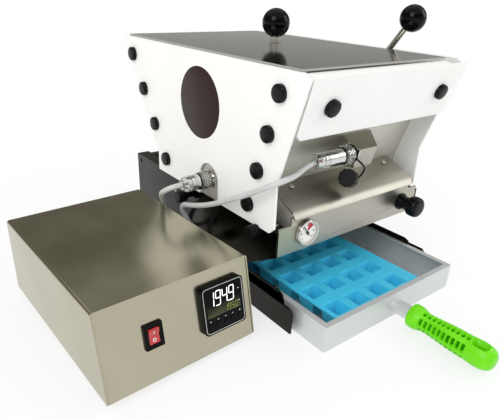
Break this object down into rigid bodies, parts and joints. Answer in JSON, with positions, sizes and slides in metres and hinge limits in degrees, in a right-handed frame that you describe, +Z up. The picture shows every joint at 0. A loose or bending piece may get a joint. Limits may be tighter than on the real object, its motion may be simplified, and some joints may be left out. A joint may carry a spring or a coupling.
{
  "type": "candy depositor",
  "caption": "Tabletop hand-lever candy depositor with a heated hopper, a sliding tray with a mould, and a separate control box on two cables.",
  "frame": {"origin": "middle of the depositor's footprint, on the surface it stands on", "axes": "+X to the machine's right, +Y to its back, +Z up"},
  "size_m": [0.4414, 0.511, 0.3187],
  "materials": {
    "white_plastic": "smooth matt",
    "black_plastic": "gloss",
    "bright_steel": "mirror polished",
    "satin_steel": "satin brushed",
    "box_steel": "satin",
    "dark_lid": "mirror polished",
    "heater_mat": "woven silicone",
    "block_metal": "machined",
    "bush_brass": "turned",
    "chrome": "plated",
    "dial_white": "printed card",
    "needle_black": "satin paint",
    "black_rubber": "matt",
    "cable_grey": "smooth",
    "tray_metal": "satin",
    "blue_silicone": "smooth",
    "green_rubber": "smooth",
    "switch_red": "gloss",
    "dark_screen": "clear window",
    "matt_black": "fine texture"
  },
  "bodies": {
    "machine": {"chassis_left": "bright_steel", "chassis_right": "bright_steel", "chassis_back": "bright_steel", "guide_left": "bright_steel", "guide_right": "bright_steel", "side_panel_left": "white_plastic", "side_panel_right": "white_plastic", "screw_caps": "black_plastic", "hopper_jacket": "bright_steel", "hopper_tank": "bright_steel", "heater_pads": "heater_mat", "front_guard": "white_plastic", "pump_block": "block_metal", "hood": "satin_steel", "front_plate": "satin_steel", "nozzle_plate": "block_metal", "shaft_bushes": "bush_brass", "thermometer_case": "chrome", "thermometer_dial": "dial_white", "connector_box": "satin_steel", "front_socket": "chrome", "front_plug": "chrome", "side_socket": "chrome", "side_plug": "chrome", "control_base": "box_steel", "control_cover": "box_steel", "control_feet": "black_rubber", "pid_case": "black_plastic", "pid_screen": "dark_screen", "switch_frame": "matt_black", "power_inlet": "matt_black", "cable_glands": "matt_black", "cable_side": "cable_grey", "cable_front": "cable_grey"},
    "lid": {"lid": "dark_lid", "lid_ferrule": "bright_steel", "lid_knob": "black_plastic"},
    "lever": {"cross_shaft": "bright_steel", "lever_rod": "bright_steel", "lever_ball": "black_plastic"},
    "pistons": {"piston_bar": "block_metal", "pistons": "block_metal"},
    "needle": {"thermometer_needle": "needle_black"},
    "front_knob": {"front_knob": "black_plastic"},
    "thumb_knob_front": {"thumb_knob_front": "black_plastic"},
    "thumb_knob_back": {"thumb_knob_back": "black_plastic"},
    "front_ring": {"front_ring": "chrome"},
    "side_ring": {"side_ring": "chrome"},
    "dust_cap": {"dust_cap": "black_rubber"},
    "tray": {"tray": "tray_metal", "tray_tube": "tray_metal", "tray_grip": "green_rubber"},
    "mould": {"mould": "blue_silicone"},
    "rocker": {"switch_rocker": "switch_red"},
    "key_1": {"pid_key_1": "matt_black"},
    "key_2": {"pid_key_2": "matt_black"},
    "key_3": {"pid_key_3": "matt_black"},
    "key_4": {"pid_key_4": "matt_black"},
    "key_5": {"pid_key_5": "matt_black"}
  },
  "joints": [
    {"name": "lever_swing", "type": "hinge", "parent": "machine", "child": "lever", "pos_m": [0, 0.0467, 0.094], "axis": [1, 0, 0], "range_deg": [-56.4, 7.6]},
    {"name": "piston_slide", "type": "slide", "parent": "machine", "child": "pistons", "axis": [0, 1, 0], "range_m": [-0.0021, 0.0151]},
    {"name": "tray_slide", "type": "slide", "parent": "machine", "child": "tray", "axis": [0, 1, 0], "range_m": [-0.15, 0.062]},
    {"name": "mould_lift", "type": "slide", "parent": "tray", "child": "mould", "axis": [0, 0, 1], "range_m": [0, 0.04]},
    {"name": "lid_lift", "type": "slide", "parent": "machine", "child": "lid", "axis": [0, 0, 1], "range_m": [0, 0.06]},
    {"name": "needle_turn", "type": "hinge", "parent": "machine", "child": "needle", "pos_m": [-0.076, -0.1458, 0.097], "axis": [0, -1, 0], "range_deg": [-150, 80]},
    {"name": "front_knob_turn", "type": "hinge", "parent": "machine", "child": "front_knob", "pos_m": [0.086, -0.143, 0.094], "axis": [0, -1, 0], "continuous": true},
    {"name": "thumb_front_turn", "type": "hinge", "parent": "machine", "child": "thumb_knob_front", "pos_m": [-0.116, -0.118, 0.101], "axis": [-1, 0, 0], "continuous": true},
    {"name": "thumb_back_turn", "type": "hinge", "parent": "machine", "child": "thumb_knob_back", "pos_m": [-0.116, 0.025, 0.09], "axis": [-1, 0, 0], "continuous": true},
    {"name": "front_ring_turn", "type": "hinge", "parent": "machine", "child": "front_ring", "pos_m": [-0.0085, -0.1365, 0.1698], "axis": [-1, 0, 0], "continuous": true},
    {"name": "side_ring_turn", "type": "hinge", "parent": "machine", "child": "side_ring", "pos_m": [-0.116, -0.029, 0.129], "axis": [-1, 0, 0], "continuous": true},
    {"name": "dust_cap_swing", "type": "hinge", "parent": "machine", "child": "dust_cap", "pos_m": [-0.0085, -0.1365, 0.1698], "axis": [1, 0, 0], "range_deg": [-60, 0]},
    {"name": "rocker_tip", "type": "hinge", "parent": "machine", "child": "rocker", "pos_m": [-0.26071, -0.15204, 0.05181], "axis": [0.999, 0.0436, 0], "range_deg": [-14, 0]},
    {"name": "key_1_press", "type": "slide", "parent": "machine", "child": "key_1", "axis": [-0.0427, 0.979, -0.1995], "range_m": [0, 0.0008], "stiffness_N_per_m": 300, "springref_m": -0.001},
    {"name": "key_2_press", "type": "slide", "parent": "machine", "child": "key_2", "axis": [-0.0427, 0.979, -0.1995], "range_m": [0, 0.0008], "stiffness_N_per_m": 300, "springref_m": -0.001},
    {"name": "key_3_press", "type": "slide", "parent": "machine", "child": "key_3", "axis": [-0.0427, 0.979, -0.1995], "range_m": [0, 0.0008], "stiffness_N_per_m": 300, "springref_m": -0.001},
    {"name": "key_4_press", "type": "slide", "parent": "machine", "child": "key_4", "axis": [-0.0427, 0.979, -0.1995], "range_m": [0, 0.0008], "stiffness_N_per_m": 300, "springref_m": -0.001},
    {"name": "key_5_press", "type": "slide", "parent": "machine", "child": "key_5", "axis": [-0.0427, 0.979, -0.1995], "range_m": [0, 0.0008], "stiffness_N_per_m": 300, "springref_m": -0.001}
  ],
  "couplings": [
    {"joint": "piston_slide", "follows": "lever_swing", "m_per_rad": -0.0152}
  ]
}
